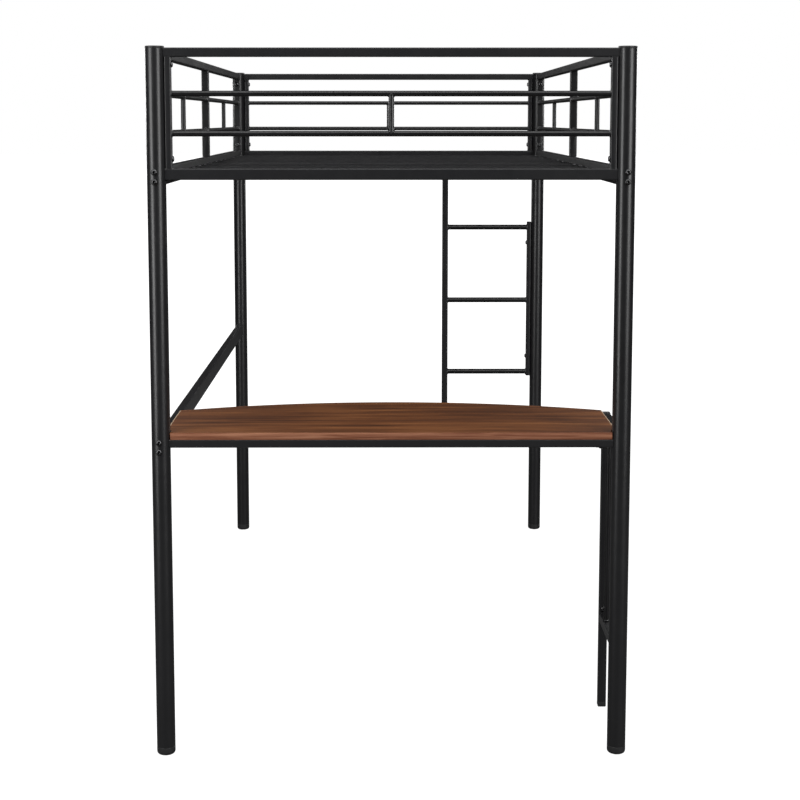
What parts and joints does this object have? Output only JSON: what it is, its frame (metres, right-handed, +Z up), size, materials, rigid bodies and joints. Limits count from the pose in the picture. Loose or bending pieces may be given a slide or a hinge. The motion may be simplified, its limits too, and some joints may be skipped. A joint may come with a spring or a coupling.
{
  "type": "loft bed with desk",
  "caption": "Raised single bed in black steel tube with guard rails all round, a ladder at one end and a walnut-look desk under the other end.",
  "frame": {"origin": "on the floor, at the centre of the bed's footprint", "axes": "+Z up, +Y along the bed from the desk end to the ladder end, +X across the bed, with the ladder and the short desk leg on the +X side"},
  "size_m": [1.072, 1.991, 1.6],
  "materials": {
    "frame_steel": "satin black powder coat",
    "bolt_steel": "semi-gloss black oxide",
    "plastic_plugs": "fine matte moulded plastic",
    "desk_board": "satin walnut-look laminate with streaks across the bed"
  },
  "bodies": {
    "root": {"post_near_left": "frame_steel", "post_foot_near_left": "plastic_plugs", "post_cap_near_left": "plastic_plugs", "post_near_right": "frame_steel", "post_foot_near_right": "plastic_plugs", "post_cap_near_right": "plastic_plugs", "post_far_left": "frame_steel", "post_foot_far_left": "plastic_plugs", "post_cap_far_left": "plastic_plugs", "post_far_right": "frame_steel", "post_foot_far_right": "plastic_plugs", "post_cap_far_right": "plastic_plugs", "end_frame_near": "frame_steel", "end_frame_far": "frame_steel", "side_guard_left": "frame_steel", "side_guard_right": "frame_steel", "deck_side_rail_left": "frame_steel", "deck_bolt_near_left_lower": "bolt_steel", "deck_bolt_near_left_upper": "bolt_steel", "deck_bolt_far_left_lower": "bolt_steel", "deck_bolt_far_left_upper": "bolt_steel", "deck_side_rail_right": "frame_steel", "deck_bolt_near_right_lower": "bolt_steel", "deck_bolt_near_right_upper": "bolt_steel", "deck_bolt_far_right_lower": "bolt_steel", "deck_bolt_far_right_upper": "bolt_steel", "deck_slat_01": "frame_steel", "deck_slat_02": "frame_steel", "deck_slat_03": "frame_steel", "deck_slat_04": "frame_steel", "deck_slat_05": "frame_steel", "deck_slat_06": "frame_steel", "deck_slat_07": "frame_steel", "deck_slat_08": "frame_steel", "deck_slat_09": "frame_steel", "deck_slat_10": "frame_steel", "deck_slat_11": "frame_steel", "deck_slat_12": "frame_steel", "deck_slat_13": "frame_steel", "deck_slat_14": "frame_steel", "desk_board": "desk_board", "desk_front_rail": "frame_steel", "desk_rear_rail": "frame_steel", "desk_side_rail_left": "frame_steel", "desk_bolt_near_left_lower": "bolt_steel", "desk_bolt_near_left_upper": "bolt_steel", "desk_bolt_far_left_lower": "bolt_steel", "desk_bolt_far_left_upper": "bolt_steel", "desk_leg": "frame_steel", "desk_leg_foot": "plastic_plugs", "desk_leg_cap": "plastic_plugs", "desk_leg_bolt": "bolt_steel", "desk_short_rail_upper": "frame_steel", "desk_short_rail_lower": "frame_steel", "desk_short_bar": "frame_steel", "far_step_rail": "frame_steel", "ladder": "frame_steel", "ladder_bolt_lower": "bolt_steel", "ladder_bolt_upper": "bolt_steel"}
  },
  "joints": []
}
